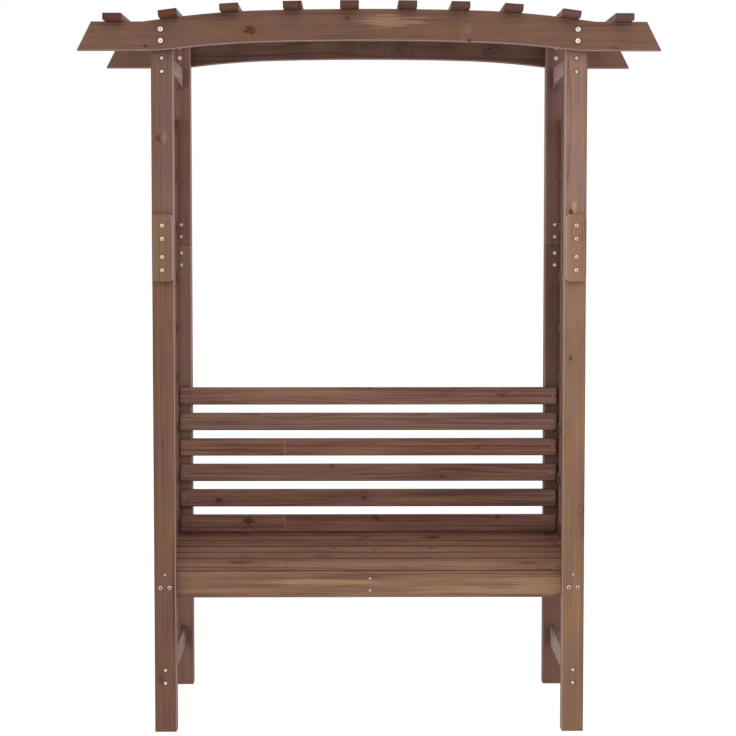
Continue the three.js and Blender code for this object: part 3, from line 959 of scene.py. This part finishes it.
for side, (level_colour, upright_colour) in LATH_COLOURS.items():
    node = f"{side}_trellis"
    centre = middle(node)
    material, w, shader = new_material(node)
    level_look = {"seed": seed, "colour": level_colour, **LATH_LOOK}
    upright_look = {"seed": seed + 1, "colour": upright_colour, **LATH_LOOK}
    level = stained_board(w, centre, SIDEWAYS, level_look)
    upright = stained_board(w, centre, board_frame(Z, Y), upright_look)
    where = w.split(w.node("ShaderNodeTexCoord").outputs["Object"])[0]
    outer = w.math("GREATER_THAN", where, centre.x)
    colour = w.blend(outer, level[0], upright[0])
    roughness = choose(w, outer, level[1], upright[1])
    relief = choose(w, outer, level[2], upright[2])
    finish_wood(w, shader, colour, roughness, relief)
    dress(node, material)
    seed += SEED_STEP
print("trellises dressed")

# %% [markdown]
# ## Zinc
# The bolts and screws are steel with a warm passivated zinc coat, matt from the bath and a little
# duller in patches. Three tones of it are shared out over them. The beam bolts are nodes of the
# frame, with sockets already cut in them, and painted shade darkens each socket by the distance to
# the bolt's axis.

# %% The zinc materials
METAL_SHARE = 0.6
SOCKET_RIM = (0.0014, 0.0024)


def make_zinc(name, colour, dull):
    """Zinc whose roughness runs from dull to 0.2 more, with darker tarnish in the same patches."""
    material, w, shader = new_material(name)
    point = w.node("ShaderNodeTexCoord").outputs["Object"]
    cloud = w.noise(point, (260.0, 260.0, 260.0), 3.0)["Fac"]
    tarnish = w.tint(srgb(colour), (0.72, 0.66, 0.6))
    w.feed(shader.inputs["Base Color"], w.blend(w.step(cloud, 0.4, 0.7), srgb(colour), tarnish))
    w.feed(shader.inputs["Roughness"], w.step(cloud, 0.3, 0.7, dull, dull + 0.2))
    shader.inputs["Metallic"].default_value = METAL_SHARE
    return material


def make_shadow_metal():
    """The dark of a socket or recess, which is painted shade, and the ring under a head, partly stain
    pressed dark and partly painted shade.
    """
    material, w, shader = new_material("socket shadow")
    cloud = w.noise(w.node("ShaderNodeTexCoord").outputs["Object"], (400.0, 400.0, 400.0))["Fac"]
    w.feed(shader.inputs["Base Color"], w.blend(cloud, srgb("3a2a22"), srgb("54402f")))
    shader.inputs["Roughness"].default_value = 0.8
    return material


def make_beam_bolt_zinc(name, axis_x, axis_z):
    """Zinc with painted shade in its socket: dark within the socket's radius of the bolt's own axis.
    """
    material = make_zinc(name, "f0dacb", 0.34)
    w = Wires(material.node_tree)
    shader = next(n for n in w.tree.nodes if n.type == "BSDF_PRINCIPLED")
    place = w.split(w.node("ShaderNodeTexCoord").outputs["Object"])
    off_axis = w.join(w.sub(place[0], axis_x), 0.0, w.sub(place[2], axis_z))
    socket_shade = w.step(w.vector("LENGTH", off_axis), *SOCKET_RIM, 1.0, 0.0)
    plain = shader.inputs["Base Color"].links[0].from_socket
    w.feed(shader.inputs["Base Color"], w.blend(w.mul(socket_shade, 0.55), plain, srgb("4a362c")))
    return material


zinc = make_zinc("zinc", "d8bda0", 0.38)
bright = make_zinc("bright zinc", "e4cfc3", 0.34)
dull = make_zinc("dull zinc", "d6beb2", 0.40)
shadow_metal = make_shadow_metal()
for node in nodes:
    if "beam_bolt" in node:
        bolt_middle = middle(node)
        dress(node, make_beam_bolt_zinc(node, bolt_middle.x, bolt_middle.z))
print("zinc on", sum("beam_bolt" in n for n in nodes), "beam bolts")

# %% [markdown]
# ## Bolts and screws
# A bolt head is a turned form with a socket that isn't round. Both fit one surface of two
# parameters: the step along a profile and the angle round the axis. Where the profile says so, the
# radius follows a hexagon or a cross instead of a circle, so the socket's walls join the dome with
# no cut. Copies are placed by turning the whole array to face each direction.

# %% The turned surface
ROUND, HEXAGON, CROSS = 0, 1, 2
CORNERS = 6


def outline_factor(angle, form):
    """What the radius is multiplied by at an angle: 1 on a circle, 1 / cos of the angle from the
    nearest flat's middle on a hexagon, and on a cross a cosine of four turns, sharpened."""
    sector = math.pi / CORNERS
    if form == HEXAGON:
        return 1 / np.cos((angle + sector) % (2 * sector) - sector)
    if form == CROSS:
        return 0.42 + 0.58 * np.abs(np.cos(2 * angle)) ** 3
    return np.ones_like(angle)


def turned_surface(profile, around):
    """Points and faces of a closed form about the z axis. Row i of the profile gives a radius, a
    height and a form, and point (i, j) is radius times the form's factor, at angle j of around. The
    first and the last row are single points on the axis."""
    angle = np.arange(around) * 2 * math.pi / around
    rings = [
        np.stack([r * outline_factor(angle, form) * np.cos(angle),
                  r * outline_factor(angle, form) * np.sin(angle),
                  np.full(around, h)], axis=1)
        for r, h, form in profile[1:-1]
    ]
    points = np.concatenate([[[0, 0, profile[0][1]]], *rings, [[0, 0, profile[-1][1]]]])
    j = np.arange(around)
    after = (j + 1) % around
    faces = [np.stack([np.zeros(around, int), 1 + after, 1 + j], axis=1).tolist()]
    for i in range(len(rings) - 1):
        low, high = 1 + i * around, 1 + (i + 1) * around
        faces.append(np.stack([low + j, low + after, high + after, high + j], axis=1).tolist())
    last = 1 + (len(rings) - 1) * around
    faces.append(np.stack([last + j, last + after, np.full(around, len(points) - 1)], axis=1).tolist())
    return points, [face for part in faces for face in part]


def turn_to(direction):
    """The turn that carries +z onto a direction."""
    return np.array(Vector(direction).to_track_quat("Z", "X").to_matrix())


def fasteners(name, profile, places, material, around=24):
    """One piece that holds a copy of a turned form at each place, a point and an outward direction.
    Faces that start at a row of the profile marked dark get the shadow material."""
    points, faces = turned_surface([row[:3] for row in profile], around)
    dark_rows = [i for i, row in enumerate(profile[:-1]) if len(row) > 3]
    all_points, all_faces = [], []
    for i, (at, direction) in enumerate(places):
        all_points.append(points @ turn_to(direction).T + np.array(at))
        all_faces += [[v + i * len(points) for v in face] for face in faces]
    mesh = bpy.data.meshes.new(name)
    mesh.from_pydata(np.concatenate(all_points).tolist(), [], all_faces)
    mesh.materials.append(material)
    mesh.materials.append(shadow_metal)
    rows = np.repeat(np.arange(len(profile) - 1), around)
    picks = np.isin(rows, dark_rows).astype(np.int32)
    mesh.polygons.foreach_set("material_index", np.tile(picks, len(places)))
    mesh.shade_smooth()
    mesh.set_sharp_from_angle(angle=SHARP_ANGLE)
    piece = bpy.data.objects.new(name, mesh)
    bpy.context.scene.collection.objects.link(piece)
    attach(piece, "root")


print("turned surface ready")

# %% [markdown]
# ## Profiles
# A row of a profile gives a radius, a height and a form, and DARK for faces in the shadow material,
# which paints shade into sockets and recesses. Every head begins with a dark disc, pressed a little
# into the wood: partly stain that gathers round a head and partly painted shade, a ring that makes
# the head stand out.

# %% The profiles
DARK = True
SUNK = -0.3 * MM
DARK_RING_TOP = 0.12 * MM


def stain_and_shade_foot(radius, stain):
    """A dark disc stain times as wide as the head, partly stain and partly painted shade, and the foot
    of the head on it.
    """
    reach = radius * stain
    disc = [(0, SUNK, ROUND, DARK), (reach, SUNK, ROUND, DARK), (reach, DARK_RING_TOP, ROUND, DARK)]
    return [*disc, (radius, 0.14 * MM, ROUND)]


def bolt_profile(radius, height, socket, stain=1.2):
    """A straight rim, a dome, and a hexagon socket whose wall and floor are dark with painted shade.
    """
    rim = height * 0.5
    dome = [(radius * c, rim + (height - rim) * s, ROUND) for c, s in ((0.93, 0.45), (0.78, 0.8))]
    return [
        *stain_and_shade_foot(radius, stain), (radius, rim, ROUND), *dome,
        (socket * 1.1, height, HEXAGON, DARK), (socket, height - 0.2 * MM, HEXAGON, DARK),
        (socket * 0.96, height * 0.2, HEXAGON, DARK), (0, height * 0.2, ROUND),
    ]


def nut_profile(radius, height):
    """The rounded end of a bolt in its low nut."""
    rows = ((1, 0.5), (0.86, 0.72), (0.55, 0.75), (0.5, 1), (0.3, 1.12), (0, 1.15))
    return stain_and_shade_foot(radius, 1.15) + [(radius * r, height * h, ROUND) for r, h in rows]


def washer_profile(radius):
    """A thin flat washer, dark all round: partly stain and partly painted shade."""
    return [
        (0, SUNK, ROUND, DARK), (radius, SUNK, ROUND, DARK), (radius, 0.15 * MM, ROUND, DARK),
        (radius * 0.9, 0.2 * MM, ROUND, DARK), (0, 0.2 * MM, ROUND),
    ]


def screw_profile(radius, stain=1.3):
    """A countersunk head a hair proud of the wood, with a cross recess dark with painted shade."""
    return [
        *stain_and_shade_foot(radius, stain), (radius * 0.9, 0.35 * MM, ROUND),
        (radius * 0.62, 0.4 * MM, CROSS, DARK), (radius * 0.55, -0.1 * MM, CROSS, DARK),
        (0, -0.2 * MM, ROUND),
    ]


print("profiles ready")

# %% [markdown]
# ## Bolts on the posts
# Every place is read from the frame: a bolt sits on the face of the post or plate that carries it.
# Bolts run right through, so a head at the front has a nut at the back, and the rear posts are
# mirrored, with their heads behind. The heights come from the picture.

# %% Place the bolts of the posts
FRONT, BACK, UP = (0, -1, 0), (0, 1, 0), (0, 0, 1)
# For each end: the way out of the seat, the way in, and which corner of a box lies outside.
ENDS = {"front": (FRONT, BACK, 0), "rear": (BACK, FRONT, 1)}
FEW = 16
SPLICE_OFFSETS = [58.6 * MM, 23.9 * MM, -23.9 * MM, -58.6 * MM]
RAIL_BOLT_OFFSETS = {"top_rail": (16.0 * MM, -19.5 * MM), "lower_stretcher": (21.0 * MM, -14.0 * MM)}
SEAT_BOLT_DROP = 37.7 * MM
SEAT_BOLT_ASIDE = 12 * MM
SEAT_SCREW_DROP = 3.2 * MM
splice_bolt = bolt_profile(5.9 * MM, 3.4 * MM, 1.4 * MM)
splice_nut = nut_profile(5.7 * MM, 3.6 * MM)
rail_bolt = bolt_profile(4.4 * MM, 2.5 * MM, 0.9 * MM, 1.45)
seat_bolt = bolt_profile(5.5 * MM, 2.4 * MM, 2.3 * MM)
seat_screw = screw_profile(3.5 * MM, 1.4)
for corner in POST_COLOURS:
    end, side = corner.split("_")
    outward, inward, outer = ENDS[end]
    x = middle(f"{corner}_lower_post").x
    plate_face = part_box(f"{corner}_splice_plate")[outer][1]
    post_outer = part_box(f"{corner}_lower_post")[outer][1]
    post_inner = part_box(f"{corner}_lower_post")[1 - outer][1]
    joint_z = middle(f"{corner}_splice_plate").z
    heads = [((x, plate_face, joint_z + dz), outward) for dz in SPLICE_OFFSETS]
    tails = [((x, post_inner, joint_z + dz), inward) for dz in SPLICE_OFFSETS]
    fasteners(f"{corner}_splice_bolts", splice_bolt, heads, zinc)
    fasteners(f"{corner}_splice_nuts", splice_nut, tails, dull, FEW)
    rail_places = []
    for part, offsets in RAIL_BOLT_OFFSETS.items():
        z = middle(f"{side}_{part}").z
        rail_places += [((x, post_outer, z + dz), outward) for dz in offsets]
    fasteners(f"{corner}_rail_bolts", rail_bolt, rail_places, bright)
    seat_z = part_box(f"{side}_seat_rail")[1][2]
    bolt_xs = (x - SEAT_BOLT_ASIDE, x + SEAT_BOLT_ASIDE)
    seat_places = [((bolt_x, post_outer, seat_z - SEAT_BOLT_DROP), outward) for bolt_x in bolt_xs]
    fasteners(f"{corner}_seat_bolts", seat_bolt, seat_places, dull)
    top_screw = [((x, post_outer, seat_z - SEAT_SCREW_DROP), outward)]
    fasteners(f"{corner}_seat_screw", seat_screw, top_screw, zinc, FEW)
print("bolts placed on", len(POST_COLOURS), "posts")

# %% [markdown]
# ## Washers and screws
# The beam bolts get dark washers on the beam, partly stain and partly painted shade. The back slats
# have one screw in each end, the aprons two in the middle, and the seat slats one over each side rail
# and one over the centre bearer.

# %% Place the washers and screws
WASHER_RADIUS = 9.4 * MM
BACK_SCREW_INSET = 13 * MM
APRON_SCREWS = (406 * MM, 373 * MM)
APRON_SCREW_X = 0.002
SLAT_SCREW_X = 0.003
washer_places = []
for node in nodes:
    if "beam_bolt" in node:
        end = node.split("_")[0]
        outward, inward, outer = ENDS[end]
        beam_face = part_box(f"{end}_arched_beam")[outer][1]
        at = middle(node)
        washer_places.append(((at.x, beam_face, at.z), outward))
fasteners("beam_bolt_washers", washer_profile(WASHER_RADIUS), washer_places, dull)

back_places = []
for number in range(1, len(BACK_COLOURS) + 1):
    low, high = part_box(f"back_slat_{number}")
    z = (low[2] + high[2]) / 2
    ends = (low[0] + BACK_SCREW_INSET, high[0] - BACK_SCREW_INSET)
    back_places += [((x, low[1], z), FRONT) for x in ends]
fasteners("back_slat_screws", screw_profile(2.0 * MM, 1.8), back_places, dull, FEW)

apron_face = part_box("front_apron")[0][1]
rear_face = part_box("rear_apron")[1][1]
apron_places = [((APRON_SCREW_X, apron_face, z), FRONT) for z in APRON_SCREWS]
apron_places += [((0.0, rear_face, z), BACK) for z in APRON_SCREWS]
fasteners("apron_screws", screw_profile(3.6 * MM), apron_places, zinc, FEW)

rail_x = middle("right_seat_rail").x
slat_places = []
for number in range(1, len(SEAT_COLOURS) + 1):
    low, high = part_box(f"seat_slat_{number}")
    y = (low[1] + high[1]) / 2
    slat_places += [((x, y, high[2]), UP) for x in (-rail_x, SLAT_SCREW_X, rail_x)]
fasteners("seat_slat_screws", screw_profile(3.0 * MM), slat_places, zinc, FEW)

# %% [markdown]
# ## Floor and light
# The seat stands on a white studio floor. White comes from the colour of the floor and, for what
# the camera sees, from a Light Path mix, so the lamps can stay at a level where the stain renders as
# it is written. A soft key hangs above the camera to the right, so that the rafters shade the face
# of the front beam. A weak fill stands at the left, a lamp at each side and one behind light the
# faces that the camera doesn't see, and the sky does the rest.

# %% Floor and sky
FLOOR_SIZE = 40
FLOOR_GLOW = 1.17
GLOW_SHARE = 0.78
SKY_LEVEL = 0.5


def seen_or_mirrored(w):
    """1 for a ray that reaches the camera straight, or by gloss or glass."""
    path = w.node("ShaderNodeLightPath").outputs
    seen_or_gloss = w.add(path["Is Camera Ray"], path["Is Glossy Ray"])
    return w.math("ADD", seen_or_gloss, path["Is Transmission Ray"], clamp=True)


bpy.ops.mesh.primitive_plane_add(size=FLOOR_SIZE)
floor = bpy.context.object
floor.name = "floor"
floor_material, w, shader = new_material("studio white")
shader.inputs["Base Color"].default_value = (0.9, 0.9, 0.9, 1)
shader.inputs["Roughness"].default_value = 0.9
glow = w.node("ShaderNodeEmission")
glow.inputs["Strength"].default_value = FLOOR_GLOW
mixed = w.node("ShaderNodeMixShader")
output = next(n for n in w.tree.nodes if n.type == "OUTPUT_MATERIAL")
w.feed(mixed.inputs[0], w.mul(seen_or_mirrored(w), GLOW_SHARE))
w.feed(mixed.inputs[1], shader.outputs[0])
w.feed(mixed.inputs[2], glow.outputs[0])
w.feed(output.inputs[0], mixed.outputs[0])
floor.data.materials.append(floor_material)

world = bpy.data.worlds.new("studio")
bpy.context.scene.world = world
world.use_nodes = True
w = Wires(world.node_tree)
sky = next(n for n in w.tree.nodes if n.type == "BACKGROUND")
sky.inputs["Color"].default_value = (1, 1, 1, 1)
seen = seen_or_mirrored(w)
w.feed(sky.inputs["Strength"], w.add(SKY_LEVEL, w.mul(seen, 1.0 - SKY_LEVEL)))
print("floor and sky ready")

# %% Lamps
# A name, a place, the point it faces, the length of its side and its power in watts.
LAMPS = (
    ("key", (0.7, -3.4, 4.4), (0, 0, 1.0), 3.8, 72),
    ("fill", (-1.4, -4.6, 2.2), (0, 0, 0.9), 3.0, 22),
    ("side lamp", (-4.4, -1.2, 2.0), (0, 0, 0.9), 2.6, 55),
    ("side lamp", (4.4, -1.2, 2.0), (0, 0, 0.9), 2.6, 55),
    ("back lamp", (0.5, 4.6, 2.6), (0, 0, 1.0), 3.0, 40),
)


def soft_lamp(name, place, aim, size, power):
    """A square area lamp at a place, turned to face the aim."""
    data = bpy.data.lights.new(name, "AREA")
    data.size = size
    data.energy = power
    lamp = bpy.data.objects.new(name, data)
    lamp.location = place
    lamp.rotation_euler = (Vector(aim) - Vector(place)).to_track_quat("-Z", "Y").to_euler()
    bpy.context.scene.collection.objects.link(lamp)


for lamp in LAMPS:
    soft_lamp(*lamp)
print("lamps:", len(LAMPS))
